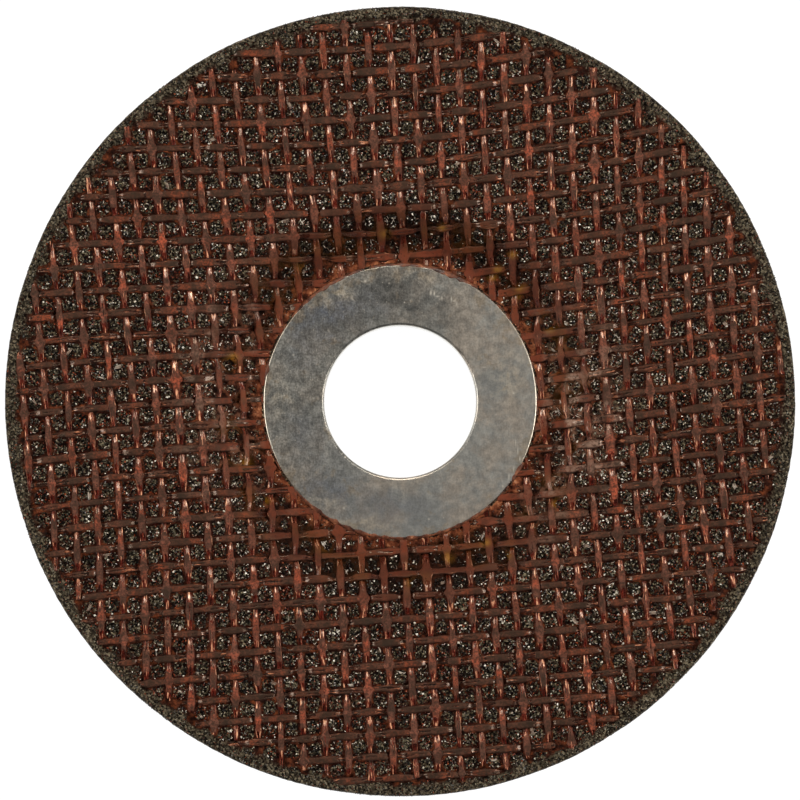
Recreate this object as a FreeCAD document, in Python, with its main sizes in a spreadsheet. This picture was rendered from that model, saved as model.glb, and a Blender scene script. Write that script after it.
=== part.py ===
import FreeCAD, Part
import os
import Sketcher

# Grinding disc of the depressed centre type, 115 x 6 x 22.23 mm.
# Millimetres, +Z up out of the working face. The origin is on the axis of the
# bore, in the plane of the raised hub on the back, on which the disc lies.
# The disc is one moulding of abrasive grain and resin. A woven glass mesh is
# pressed into its working face and a drawn sheet steel ring into its middle.

doc = FreeCAD.newDocument("grinding_disc")

# ------------------------------------------------------------ driving sizes
dims = doc.addObject("Spreadsheet::Sheet", "dims")
dims.Label = "dims"
ROWS = [
    # the moulded disc
    ("disc_radius", 57.5, "outside radius of the disc, diameter 115"),
    ("disc_thickness", 6.0, "thickness of the abrasive, hub and outer part alike"),
    ("recess_depth", 4.6, "depth of the depressed centre"),
    ("recess_radius", 22.5, "radius of the floor of the depressed centre"),
    ("slope_run", 5.1, "radial run of the slope from the floor to the working face"),
    ("back_hub_radius", 25.0, "radius of the flat hub on the back"),
    ("back_slope_run", 5.2, "radial run of the slope on the back"),
    ("floor_round", 2.4, "round in the corner of floor and slope, working side"),
    ("brow_round", 2.6, "round where the slope meets the working face"),
    ("back_foot_round", 2.2, "round where the slope meets the outer part, back"),
    ("back_hub_round", 2.0, "round at the edge of the hub, back"),
    ("rim_round", 0.5, "worn round on both edges of the rim"),
    # the woven glass mesh in its resin, pressed into the working face
    ("mesh_thickness", 0.6, "thickness of the resin filled mesh"),
    ("mesh_radius", 55.5, "outside radius of the mesh, short of the rim"),
    # the drawn ring in the bore
    ("bore_radius", 11.115, "radius of the arbor hole, diameter 22.23"),
    ("ring_radius", 20.0, "outside radius of the flange of the ring, diameter 40"),
    ("ring_sheet", 0.4, "sheet thickness of the ring"),
    ("ring_proud", 0.12, "height of the flange above the floor around it"),
    ("ring_bend", 0.45, "radius of the bend from flange to collar, bore side"),
    ("ring_edge_round", 0.2, "rolled top edge of the flange"),
    ("collar_gap", 0.52, "how far the collar stops short of the back of the hub"),
]
for row, (alias, value, note) in enumerate(ROWS, start=1):
    dims.set("A%d" % row, str(value))
    dims.setAlias("A%d" % row, alias)
    dims.set("B%d" % row, note)
doc.recompute()


def size(expression):
    """Present value of an expression on the sheet."""
    value = dims.evalExpression(expression)
    return float(getattr(value, "Value", value))


def plane(body, role):
    for feature in body.Origin.OriginFeatures:
        if feature.Role == role:
            return feature
    raise RuntimeError("no plane " + role)


def outline(body, name, points):
    """Closed outline in the XZ plane, one half of the section. A point is a
    name, its distance from the axis and its height; height None is z = 0."""
    sketch = body.newObject("Sketcher::SketchObject", name)
    sketch.AttachmentSupport = [(plane(body, "XZ_Plane"), "")]
    sketch.MapMode = "FlatFace"
    spots = [FreeCAD.Vector(size(r), 0.0 if z is None else size(z), 0) for _, r, z in points]
    last = len(points)
    for i in range(last):
        sketch.addGeometry(Part.LineSegment(spots[i], spots[(i + 1) % last]), False)
    for i in range(last):
        sketch.addConstraint(Sketcher.Constraint("Coincident", i, 2, (i + 1) % last, 1))
    for i, (label, r, z) in enumerate(points):
        k = sketch.addConstraint(Sketcher.Constraint("DistanceX", -1, 1, i, 1, spots[i].x))
        sketch.renameConstraint(k, label + "_r")
        sketch.setExpression("Constraints." + label + "_r", r)
        if z is None:
            sketch.addConstraint(Sketcher.Constraint("PointOnObject", i, 1, -1))
        else:
            k = sketch.addConstraint(Sketcher.Constraint("DistanceY", -1, 1, i, 1, spots[i].y))
            sketch.renameConstraint(k, label + "_z")
            sketch.setExpression("Constraints." + label + "_z", z)
    doc.recompute()
    return sketch


def turned(label, points):
    """Body turned about the Z axis from one half section."""
    body = doc.addObject("PartDesign::Body", label)
    body.Label = label
    sketch = outline(body, label + "_section", points)
    turn = body.newObject("PartDesign::Revolution", label + "_turn")
    turn.Profile = sketch
    turn.ReferenceAxis = (sketch, ["V_Axis"])
    turn.Angle = 360.0
    doc.recompute()
    return body


def rounded(body, name, expression, spots):
    """Round the circular edges at the given (r, z) places with one radius."""
    base = body.Tip
    names = []
    for r, z in spots:
        found = None
        for i, edge in enumerate(base.Shape.Edges, start=1):
            curve = edge.Curve
            if not isinstance(curve, Part.Circle):
                continue
            if abs(curve.Radius - size(r)) < 1e-4 and abs(curve.Center.z - (0.0 if z is None else size(z))) < 1e-4:
                found = "Edge%d" % i
        if found is None:
            raise RuntimeError("%s: no edge at r %s, z %s" % (name, r, z))
        names.append(found)
    fillet = body.newObject("PartDesign::Fillet", name)
    fillet.Base = (base, names)
    fillet.Radius = size(expression)
    fillet.setExpression("Radius", expression)
    doc.recompute()
    return fillet


# heights and radii that two bodies share, written once
FLOOR = "dims.disc_thickness"
FACE = "dims.disc_thickness + dims.recess_depth"
BED = "dims.disc_thickness - dims.mesh_thickness"
FACE_BED = "dims.disc_thickness + dims.recess_depth - dims.mesh_thickness"
BROW = "dims.recess_radius + dims.slope_run"
# the bed lies square under the mesh, so its two corners sit further out
LEAN = "dims.mesh_thickness * tan(0.5 * atan(dims.recess_depth / dims.slope_run))"
BED_FLOOR = "dims.recess_radius + " + LEAN
BED_BROW = BROW + " + " + LEAN
SLEEVE = "dims.bore_radius + dims.ring_sheet"
RING_TOP = "dims.disc_thickness + dims.ring_proud"
RING_UNDER = "dims.disc_thickness + dims.ring_proud - dims.ring_sheet"

# ------------------------------------------------------------ abrasive body
# Grain and resin pressed in one mould: hub, slope and outer part are one piece.
# The working side has a bed for the mesh, and the rim stands round the mesh.
abrasive = turned("abrasive_body", [
    ("bore_back", SLEEVE, None),
    ("hub_edge", "dims.back_hub_radius", None),
    ("back_foot", "dims.back_hub_radius + dims.back_slope_run", "dims.recess_depth"),
    ("rim_back", "dims.disc_radius", "dims.recess_depth"),
    ("rim_face", "dims.disc_radius", FACE),
    ("rim_inner", "dims.mesh_radius", FACE),
    ("bed_outer", "dims.mesh_radius", FACE_BED),
    ("bed_brow", BED_BROW, FACE_BED),
    ("bed_floor", BED_FLOOR, BED),
    ("bore_bed", SLEEVE, BED),
])
rounded(abrasive, "hub_round", "dims.back_hub_round", [("dims.back_hub_radius", None)])
rounded(abrasive, "foot_round", "dims.back_foot_round",
        [("dims.back_hub_radius + dims.back_slope_run", "dims.recess_depth")])
rounded(abrasive, "bed_floor_round", "dims.floor_round + dims.mesh_thickness", [(BED_FLOOR, BED)])
rounded(abrasive, "bed_brow_round", "dims.brow_round - dims.mesh_thickness", [(BED_BROW, FACE_BED)])
rounded(abrasive, "rim_rounds", "dims.rim_round",
        [("dims.disc_radius", "dims.recess_depth"), ("dims.disc_radius", FACE)])

# ------------------------------------------------------- glass mesh, working side
# Follows floor, slope and face. Under the flange of the ring it is pressed thin,
# so that the flange sits in it nearly flush.
mesh = turned("front_glass_mesh", [
    ("bed_inner", SLEEVE, BED),
    ("bed_floor", BED_FLOOR, BED),
    ("bed_brow", BED_BROW, FACE_BED),
    ("bed_outer", "dims.mesh_radius", FACE_BED),
    ("face_outer", "dims.mesh_radius", FACE),
    ("brow", BROW, FACE),
    ("floor", "dims.recess_radius", FLOOR),
    ("seat_top", "dims.ring_radius", FLOOR),
    ("seat", "dims.ring_radius", RING_UNDER),
    ("seat_inner", SLEEVE, RING_UNDER),
])
rounded(mesh, "bed_floor_round_m", "dims.floor_round + dims.mesh_thickness", [(BED_FLOOR, BED)])
rounded(mesh, "bed_brow_round_m", "dims.brow_round - dims.mesh_thickness", [(BED_BROW, FACE_BED)])
rounded(mesh, "floor_round_m", "dims.floor_round", [("dims.recess_radius", FLOOR)])
rounded(mesh, "brow_round_m", "dims.brow_round", [(BROW, FACE)])
rounded(mesh, "bend_relief", "dims.ring_bend - dims.ring_sheet", [(SLEEVE, RING_UNDER)])

# ------------------------------------------------------------ drawn ring
# Flat flange and a collar down the bore, drawn from one sheet of steel.
ring = turned("hub_ring", [
    ("collar_end_in", "dims.bore_radius", "dims.collar_gap"),
    ("collar_end_out", SLEEVE, "dims.collar_gap"),
    ("under_bend", SLEEVE, RING_UNDER),
    ("flange_under", "dims.ring_radius", RING_UNDER),
    ("flange_top", "dims.ring_radius", RING_TOP),
    ("over_bend", "dims.bore_radius", RING_TOP),
])
rounded(ring, "under_bend_round", "dims.ring_bend - dims.ring_sheet", [(SLEEVE, RING_UNDER)])
rounded(ring, "over_bend_round", "dims.ring_bend", [("dims.bore_radius", RING_TOP)])
rounded(ring, "edge_round", "dims.ring_edge_round", [("dims.ring_radius", RING_TOP)])

# ------------------------------------------------------------ checks and files
doc.recompute()
for item in doc.Objects:
    if "Invalid" in item.State or "Error" in item.State:
        raise RuntimeError("%s failed: %s" % (item.Label, item.State))
bodies = [abrasive, mesh, ring]
for body in bodies:
    shape = body.Shape
    if shape.isNull() or not shape.isValid() or len(shape.Solids) != 1:
        raise RuntimeError(body.Label + " is not one valid solid")
    box = shape.optimalBoundingBox(False)
    print("%-18s volume %8.1f mm3  z %.3f to %.3f  r %.3f"
          % (body.Label, shape.Volume, box.ZMin, box.ZMax, box.XMax))

os.makedirs("parts", exist_ok=True)
for body in bodies:
    body.Shape.exportStep("parts/" + body.Label + ".step")
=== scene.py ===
import math

import bpy
import numpy as np
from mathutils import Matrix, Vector


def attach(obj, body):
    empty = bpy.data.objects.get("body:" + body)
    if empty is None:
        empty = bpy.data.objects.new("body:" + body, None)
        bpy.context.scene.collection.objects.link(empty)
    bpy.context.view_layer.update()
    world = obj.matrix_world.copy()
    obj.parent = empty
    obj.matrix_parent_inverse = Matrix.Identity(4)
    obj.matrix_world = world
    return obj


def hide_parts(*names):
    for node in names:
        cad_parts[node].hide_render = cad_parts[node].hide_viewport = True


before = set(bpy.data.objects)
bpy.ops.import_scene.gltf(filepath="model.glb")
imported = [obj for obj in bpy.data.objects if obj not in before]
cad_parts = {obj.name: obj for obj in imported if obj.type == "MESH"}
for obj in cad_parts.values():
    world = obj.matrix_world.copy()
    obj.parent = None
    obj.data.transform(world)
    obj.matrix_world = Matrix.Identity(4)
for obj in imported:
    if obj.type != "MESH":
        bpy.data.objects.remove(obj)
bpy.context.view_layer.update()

# Everything below is worked out in millimetres and stored in metres.
MM = 0.001
SEED = 1157

# ------------------------------------------------------------------ the moulded form
R_DISC, R_MESH, R_RING, R_SLEEVE = 57.5, 55.5, 20.0, 11.515
FLOOR_Z, FACE_Z, BACK_Z = 6.0, 10.6, 4.6
FLOOR_R, BROW_R = 22.5, 27.6
ANG = math.atan2(FACE_Z - FLOOR_Z, BROW_R - FLOOR_R)
RF, RB = 2.4, 2.6
TF, TB = RF * math.tan(ANG / 2), RB * math.tan(ANG / 2)


def smooth(a, b, x):
    t = np.clip((np.asarray(x, float) - a) / (b - a), 0.0, 1.0)
    return t * t * (3 - 2 * t)


def working(r):
    """Height and slope of the pressed working side at radius r."""
    r = np.asarray(r, float)
    z = np.full(r.shape, FLOOR_Z)
    th = np.zeros(r.shape)
    c = math.cos(ANG)
    a = (r > FLOOR_R - TF) & (r <= FLOOR_R + TF * c)
    rr = r[a] - (FLOOR_R - TF)
    z[a] = FLOOR_Z + RF - np.sqrt(RF * RF - rr * rr)
    th[a] = np.arcsin(rr / RF)
    a = (r > FLOOR_R + TF * c) & (r <= BROW_R - TB * c)
    z[a] = FLOOR_Z + (r[a] - FLOOR_R) * math.tan(ANG)
    th[a] = ANG
    a = (r > BROW_R - TB * c) & (r <= BROW_R + TB)
    rr = BROW_R + TB - r[a]
    z[a] = FACE_Z - RB + np.sqrt(RB * RB - rr * rr)
    th[a] = np.arcsin(rr / RB)
    z[r > BROW_R + TB] = FACE_Z
    return z, th


def on_face(X, Y, h):
    """Points at height h above the working side over (X, Y), square to it."""
    r = np.hypot(X, Y)
    z, th = working(r)
    s, c = np.sin(th), np.cos(th)
    k = -s * h / np.maximum(r, 1e-6)
    return np.stack([X + X * k, Y + Y * k, z + c * h], -1)


# ------------------------------------------------------------------ smooth noise
def value_noise(X, Y, cell, seed):
    """Smooth noise from 0 to 1 with features about cell mm across."""
    table = np.random.default_rng(seed).random((256, 256))
    x, y = np.asarray(X) / cell + 1000.37, np.asarray(Y) / cell + 1000.71
    i, j = np.floor(x).astype(int), np.floor(y).astype(int)
    fx, fy = x - i, y - j
    fx, fy = fx * fx * (3 - 2 * fx), fy * fy * (3 - 2 * fy)
    a, b = table[i % 256, j % 256], table[(i + 1) % 256, j % 256]
    c, d = table[i % 256, (j + 1) % 256], table[(i + 1) % 256, (j + 1) % 256]
    return (a * (1 - fx) + b * fx) * (1 - fy) + (c * (1 - fx) + d * fx) * fy


# ------------------------------------------------------------------ the weave
# The cloth was a little drawn and skewed when it was pressed. u counts the yarns
# that run up and down, v those that run across; a yarn lies where its number is
# whole. Both are gentle polynomials of the place on the disc.
U_OF = {(0, 0): 17.3048, (0, 1): -1.3487, (0, 2): 0.1333, (0, 3): 0.2065, (0, 4): -0.078,
        (1, 0): 18.5285, (1, 1): 0.1833, (1, 2): -1.1121, (1, 3): -0.101, (2, 0): 0.2427,
        (2, 1): -0.0984, (2, 2): -0.1624, (3, 0): -0.2984, (3, 1): -0.0246, (4, 0): -0.1972}
V_OF = {(0, 0): 18.418, (0, 1): 17.3877, (0, 2): 0.0021, (0, 3): -0.1087, (0, 4): 0.1756,
        (1, 0): 1.1256, (1, 1): 0.1125, (1, 2): 0.1774, (1, 3): -0.3366, (2, 0): 0.7059,
        (2, 1): -0.9513, (2, 2): 0.15, (3, 0): 0.3183, (3, 1): -0.1508, (4, 0): -0.3834}
PITCH_U, PITCH_V = 3.13, 3.34
SPAN = 57.56


def weave(X, Y):
    x, y = np.asarray(X) / SPAN, -np.asarray(Y) / SPAN
    u = sum(c * x**i * y**j for (i, j), c in U_OF.items())
    v = sum(c * x**i * y**j for (i, j), c in V_OF.items())
    return u, v


def place(u, v):
    """The point of the disc with those yarn numbers."""
    u, v = np.broadcast_arrays(np.asarray(u, float), np.asarray(v, float))
    X = (u - 17.3) * PITCH_U
    Y = -(v - 18.4) * PITCH_V
    for _ in range(12):
        X, Y = np.clip(X, -62, 62), np.clip(Y, -62, 62)
        a, b = weave(X, Y)
        e = 0.01
        ax, bx = weave(X + e, Y)
        ay, by = weave(X, Y + e)
        ax, bx, ay, by = (ax - a) / e, (bx - b) / e, (ay - a) / e, (by - b) / e
        det = ax * by - ay * bx
        du, dv = u - a, v - b
        X = X + (by * du - ay * dv) / det
        Y = Y + (-bx * du + ax * dv) / det
    return X, Y


def phase(k, s, odd):
    """Distance, in crossings, from the nearest one where yarn k is on top."""
    w = np.mod(s - k - odd, 2.0)
    return np.minimum(w, 2.0 - w)


# Per yarn character: how far each one stands up, its width and where it is cut off
_r = np.random.default_rng(SEED)
CHAR = {"up": {"lift": _r.normal(0, 0.018, 64), "wide": _r.normal(1, 0.06, 64), "end": _r.uniform(-0.9, 0.85, (64, 2))},
        "across": {"lift": _r.normal(0, 0.022, 64), "wide": _r.normal(1, 0.07, 64), "end": _r.uniform(-0.9, 0.85, (64, 2))}}


def merged(X, Y):
    """1 where two yarns were pressed into one flat at a crossing, 0 where not."""
    return smooth(0.46, 0.62, value_noise(X, Y, 1.7, 13))


def crest(kind, k, s, X, Y):
    """Height that the top of a yarn would have if nothing had pressed it flat."""
    ki = np.asarray(k).astype(int) % 64
    wander = value_noise(X, Y, 7.0, 11 if kind == "up" else 12) - 0.5
    quick = value_noise(X, Y, 1.3, 14 if kind == "up" else 15) - 0.5
    if kind == "up":
        f = phase(k, s, 0.0)
        h = 0.10 - 0.46 * smooth(0.30, 0.88, f) * (1 + 0.25 * quick)
        h = h + 0.05 * quick * smooth(0.2, 0.5, f)
    else:
        f = phase(k, s, 1.0)
        m = merged(X, Y)
        early = 0.62 * (value_noise(X, Y, 2.6, 16) - 0.5)
        apart = 0.085 - 0.50 * smooth(0.28 + early, 0.78 + 0.45 * early, f)
        joined = 0.075 - 0.40 * smooth(0.74, 0.98, f)
        h = apart + (joined - apart) * m + 0.09 * quick * smooth(0.2, 0.5, f)
    return h + CHAR[kind]["lift"][ki] + 0.09 * wander - 0.015, f


def half_width(kind, k, f, X, Y):
    """Half the width of a yarn in mm, with the pressed out fillet at each crossing."""
    ki = np.asarray(k).astype(int) % 64
    n = value_noise(X, Y, 1.1, 21 if kind == "up" else 22) - 0.5
    if kind == "up":
        w = 0.485 - 0.05 * smooth(0.35, 0.8, f) + 0.30 * np.exp(-((f / 0.135) ** 2)) * (0.25 + merged(X, Y) * 0.75)
    else:
        m = merged(X, Y)
        w = 0.50 + 0.07 * np.exp(-((f / 0.30) ** 2)) - (0.07 - 0.09 * m) * smooth(0.35, 0.80, f)
    r = np.hypot(X, Y)
    w = w * CHAR[kind]["wide"][ki] * (1 + 0.34 * n)
    return w * (1 + 0.16 * (1 - smooth(27.0, 40.0, r)))


def flattened(q, soft=0.014):
    """The mould's flat plate stops everything at height 0."""
    return 0.5 * (q - np.sqrt(q * q + soft * soft))


# ------------------------------------------------------------------ the grain's bed
def flood(X, Y):
    """Resin squeezed out round the ring, from 1 at its edge to 0."""
    r = np.hypot(X, Y)
    n = value_noise(X, Y, 2.2, 31) - 0.5
    return 1 - smooth(20.5, 21.9, r + 1.3 * n)


def near_yarns(X, Y):
    """For each point: the lowest yarn top beside it, the distance in mm to the
    nearest yarn's edge, negative under a yarn, and that distance with the corner
    between two yarns filled in."""
    u, v = weave(X, Y)
    low = np.full(np.shape(X), 9.0)
    gaps = []
    r = np.hypot(X, Y)
    inside = r < R_MESH + 0.6
    for kind, a, b, pitch in (("up", u, v, PITCH_U), ("across", v, u, PITCH_V)):
        k = np.round(a)
        h, f = crest(kind, k, b, X, Y)
        w = half_width(kind, k, f, X, Y)
        d = np.abs(a - k) * pitch - w
        d = np.where(inside, d, 9.0)
        gaps.append(d)
        low = np.where(d < 0.16, np.minimum(low, flattened(h)), low)
    gap = np.minimum(*gaps)
    soft = -np.log(np.exp(-2.6 * gaps[0]) + np.exp(-2.6 * gaps[1])) / 2.6
    return low, gap, soft


def web(X, Y, soft):
    """Resin that filled the corners beside the yarns, from 1 to 0. Near the hub
    it closes up much of each opening."""
    r = np.hypot(X, Y)
    n = value_noise(X, Y, 0.9, 34)
    far = value_noise(X, Y, 2.4, 35)
    reach = -0.20 + 0.26 * n + 0.18 * far + (0.16 + 0.34 * far) * (1 - smooth(22.5, 30.0, r))
    return 1 - smooth(-0.07, 0.09, soft - reach)


def bed_height(X, Y, rough=None):
    """Height of the grain surface under the working side's flat, always below 0."""
    r = np.hypot(X, Y)
    low, gap, soft = near_yarns(X, Y)
    a = value_noise(X, Y, 0.62, 41)
    b = value_noise(X, Y, 1.4, 42)
    c = value_noise(X, Y, 0.36, 43)
    cell = -0.30 + 0.22 * (b - 0.5) + 0.30 * (a - 0.5) + 0.14 * (c - 0.5)
    edge = smooth(54.6, 56.4, r + 1.4 * (value_noise(X, Y, 2.6, 44) - 0.5))
    rim = -0.09 + 0.14 * (a - 0.5) + 0.10 * (c - 0.5)
    h = cell * (1 - edge) + rim * edge
    if rough is not None:
        h = h + rough * (0.085 * (1 - edge) + 0.05 * edge)
    f = np.maximum(flood(X, Y), web(X, Y, soft) * (1 - edge))
    h = h * (1 - f) + (-0.09 + 0.08 * (b - 0.5) + 0.05 * (a - 0.5)) * f
    h = np.where(low < 5, np.minimum(h, low - 0.10 - 0.06 * (1 - f)), h)
    return np.minimum(h, -0.012), gap, edge, f


# Amber resin stains round the hub: place and radius in mm
STAINS = [(14.2, 19.2, 0.9), (13.5, 18.1, 0.8), (16.3, 21.2, 0.8), (17.6, 16.5, 1.0), (17.1, 15.3, 0.7),
          (21.8, 10.4, 0.9), (7.2, -22.8, 1.2), (12.5, -20.6, 1.0), (-10.8, -21.4, 0.9), (-19.6, -14.4, 1.0),
          (-2.2, 24.4, 1.0), (-14.3, 19.4, 0.9), (-24.3, 6.5, 0.9), (1.8, -26.3, 1.3), (15.2, -22.4, 1.1),
          (22.6, -14.8, 0.9), (6.1, 25.2, 0.8), (-22.4, -8.9, 0.8)]


def amber_at(X, Y):
    total = np.zeros(np.shape(X))
    for x, y, rad in STAINS:
        total = total + np.exp(-(((X - x) / (0.72 * rad)) ** 2 + ((Y - y) / (0.5 * rad)) ** 2))
    n = value_noise(X, Y, 0.8, 81)
    thin = 0.13 * np.exp(-(((np.hypot(X, Y) - 25.0) / 3.0) ** 2)) * smooth(0.45, 0.8, value_noise(X, Y, 2.4, 82))
    return np.clip(total * (0.45 + 0.9 * n) + thin, 0, 1)


def film_and_sheen_at(X, Y, low=0.40, high=0.80):
    """Grey film and painted sheen on the slope, mostly at the right and less at the left, in ragged patches."""
    r, around = np.hypot(X, Y), np.arctan2(Y, X)
    band = np.maximum(np.exp(-(((r - 25.0) / 3.6) ** 2)), 0.8 * np.exp(-(((r - 29.4) / 3.0) ** 2)))
    h = band * np.exp(-(((around + 0.12) / 0.52) ** 2))
    h = h * smooth(low, high, value_noise(X, Y, 1.7, 83))
    left = 0.9 * band * np.exp(-(((np.abs(around) - math.pi) / 0.60) ** 2))
    return np.maximum(h, 0.75 * left * smooth(low + 0.06, high, value_noise(X, Y, 1.5, 84)))


def painted_shade_at(X, Y):
    """Painted shade in the corner of the recess: darkest at top and bottom, least at left and right."""
    r, around = np.hypot(X, Y), np.arctan2(Y, X)
    n = value_noise(X, Y, 2.0, 85) - 0.5
    p = np.exp(-(((r - 25.4 + 1.2 * n) / 3.9) ** 4)) * (0.08 + 0.92 * np.sin(around) ** 2)
    return np.clip(p * (1.0 + 0.5 * n) * (1.08 - 0.22 * np.sin(around)), 0, 1)


# ------------------------------------------------------------------ mesh helpers
def mesh_object(name, co, faces, flat=True, floats=None, sharp=None):
    """A mesh object from points in mm and an array of triangles or a list of faces."""
    me = bpy.data.meshes.new(name)
    co = np.asarray(co, np.float32) * MM
    if isinstance(faces, np.ndarray):
        n, m = faces.shape
        me.vertices.add(len(co))
        me.vertices.foreach_set("co", co.ravel())
        me.loops.add(n * m)
        me.loops.foreach_set("vertex_index", faces.astype(np.int32).ravel())
        me.polygons.add(n)
        me.polygons.foreach_set("loop_start", np.arange(0, n * m, m, dtype=np.int32))
    else:
        me.from_pydata(co.tolist(), [], faces)
    me.polygons.foreach_set("use_smooth", np.full(len(me.polygons), not flat))
    me.update(calc_edges=True)
    for key, values in (floats or {}).items():
        at = me.attributes.new(key, "FLOAT", "POINT")
        at.data.foreach_set("value", np.asarray(values, np.float32))
    me.validate()
    ob = bpy.data.objects.new(name, me)
    bpy.context.scene.collection.objects.link(ob)
    return ob


def zip_rings(first, n_a, second, n_b):
    """Triangles between two closed rings of evenly spread points, counted from
    index first and second, the first ring lying on the left of the way round."""
    A = np.arange(1, n_a + 1) / n_a
    B = np.arange(1, n_b + 1) / n_b
    i = np.arange(n_a)
    j = np.searchsorted(B, A - 1e-9, side="left")
    t1 = np.stack([first + i, first + (i + 1) % n_a, second + j % n_b], -1)
    j2 = np.arange(n_b)
    i2 = np.searchsorted(A, B + 1e-9, side="left")
    t2 = np.stack([second + (j2 + 1) % n_b, second + j2, first + i2 % n_a], -1)
    return np.concatenate([t1, t2])


# ------------------------------------------------------------------ abrasive body
def abrasive_body():
    """The whole moulding as one closed skin: rough grain on the working side and
    the rim, the coarse cloth texture of the press on the back."""
    rng = np.random.default_rng(SEED + 1)
    path = []  # radius, height, spacing, part of the form

    def run(r0, z0, r1, z1, step, part, last=False):
        n = max(1, int(round(math.hypot(r1 - r0, z1 - z0) / step)))
        for q in range(n + (1 if last else 0)):
            s = q / n
            path.append((r0 + (r1 - r0) * s, z0 + (z1 - z0) * s, step, part))

    def bend(cx, cz, rad, a0, a1, step, part):
        n = max(2, int(round(abs(a1 - a0) * rad / step)))
        for q in range(n):
            s = a0 + (a1 - a0) * q / n
            path.append((cx + rad * math.cos(s), cz + rad * math.sin(s), step, part))

    # back: bore, hub plateau, slope, outer part
    run(R_SLEEVE, 5.4, R_SLEEVE, 0.0, 1.8, "hidden")
    hub_r, foot_r, ab = 25.0, 30.2, math.atan2(4.6, 5.2)
    t_hub, t_foot = 2.0 * math.tan(ab / 2), 2.2 * math.tan(ab / 2)
    run(R_SLEEVE, 0.0, hub_r - t_hub, 0.0, 0.9, "back")
    bend(hub_r - t_hub, 2.0, 2.0, -math.pi / 2, -math.pi / 2 + ab, 0.7, "back")
    run(hub_r + t_hub * math.cos(ab), t_hub * math.sin(ab),
        foot_r - t_foot * math.cos(ab), BACK_Z - t_foot * math.sin(ab), 0.9, "back")
    bend(foot_r + t_foot, BACK_Z - 2.2, 2.2, math.pi / 2 + ab, math.pi / 2, 0.7, "back")
    run(foot_r + t_foot, BACK_Z, R_DISC - 0.5, BACK_Z, 1.05, "back")
    bend(R_DISC - 0.5, BACK_Z + 0.5, 0.5, -math.pi / 2, 0.0, 0.4, "rim")
    run(R_DISC, BACK_Z + 0.5, R_DISC, FACE_Z - 0.5, 0.42, "rim")
    bend(R_DISC - 0.5, FACE_Z - 0.5, 0.5, 0.0, math.pi / 2, 0.36, "rim")
    # working side, from the rim in to the ring
    r = R_DISC - 0.5
    while r > R_RING + 0.35:
        z, th = working(np.array([r]))
        path.append((r, float(z[0]), 0.355, "face"))
        r -= 0.355 * math.cos(float(th[0]))
    path.append((R_RING + 0.02, FLOOR_Z, 0.40, "lip"))
    path.append((R_RING + 0.02, 5.45, 0.9, "hidden"))
    run(R_RING, 5.42, R_SLEEVE, 5.42, 2.2, "hidden")

    co, counts, starts, total = [], [], [], 0
    info = []
    for q, (r, z, step, part) in enumerate(path):
        n = max(24, int(round(2 * math.pi * r / step)))
        a = (np.arange(n) + (0.5 if q % 2 else 0.0) * 0) * (2 * math.pi / n)
        j = {"face": 0.27, "rim": 0.22, "back": 0.2}.get(part, 0.0)
        a = a + rng.uniform(-j, j, n) * step / r
        rr = np.full(n, r) + (rng.uniform(-j, j, n) * step if part in ("face", "back") else 0.0)
        zz = np.full(n, z) + (rng.uniform(-j, j, n) * step if part == "rim" else 0.0)
        rnd = rng.normal(0, 1, n).clip(-2, 2)
        counts.append(n)
        starts.append(total)
        total += n
        info.append((a, rr, zz, rnd, part))
    resin, edge_at, tone, gap_at, amber, painted_shade, film_and_sheen = [], [], [], [], [], [], []
    for a, rr, zz, rnd, part in info:
        X, Y = rr * np.cos(a), rr * np.sin(a)
        n = len(a)
        f, e, g = np.zeros(n), np.zeros(n), np.full(n, 1.0)
        if part == "face":
            h, g, e, f = bed_height(X, Y, rnd)
            p = on_face(X, Y, h)
        elif part == "rim":
            # a rough broken edge: every point moved in, none out
            along = a * R_DISC
            n1 = value_noise(along, zz, 0.55, 51)
            n2 = value_noise(along, zz, 1.6, 52)
            inward = 0.05 * n1 + 0.02 * n2 + 0.10 * value_noise(along, zz * 0.2, 6.5, 53) ** 2 + 0.012 * np.abs(rnd)
            mid_z = (FACE_Z + BACK_Z) / 2
            k = inward / R_DISC
            p = np.stack([X * (1 - k), Y * (1 - k), zz + (mid_z - zz) * inward * 0.22], -1)
            e = np.ones(n)
        elif part == "back":
            n1 = value_noise(X, Y, 1.6, 61)
            sink = 0.02 + 0.10 * n1 + 0.02 * np.abs(rnd)
            sink = np.where(zz < 0.02, 0.015 * n1, sink)
            p = np.stack([X, Y, zz + sink], -1)
        else:
            p = np.stack([X, Y, zz], -1)
        co.append(p)
        resin.append(f)
        edge_at.append(e)
        gap_at.append(np.clip(g, -1, 1))
        amber.append(amber_at(X, Y) if part == "face" else np.zeros(n))
        painted_shade.append(painted_shade_at(X, Y) if part == "face" else np.zeros(n))
        film_and_sheen.append(film_and_sheen_at(X, Y, 0.15, 0.60) if part == "face" else np.zeros(n))
        tone.append(rng.random(n))
    tris = []
    for q in range(len(path)):
        w = (q + 1) % len(path)
        tris.append(zip_rings(starts[q], counts[q], starts[w], counts[w]))
    tris = np.concatenate(tris)
    return mesh_object("abrasive_moulding", np.concatenate(co), tris[:, ::-1].copy(), flat=True,
                       floats={"resin": np.concatenate(resin), "edge": np.concatenate(edge_at),
                               "gap": np.concatenate(gap_at), "tone": np.concatenate(tone),
                               "amber": np.concatenate(amber), "painted_shade": np.concatenate(painted_shade),
                               "film_and_sheen": np.concatenate(film_and_sheen)})


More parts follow.
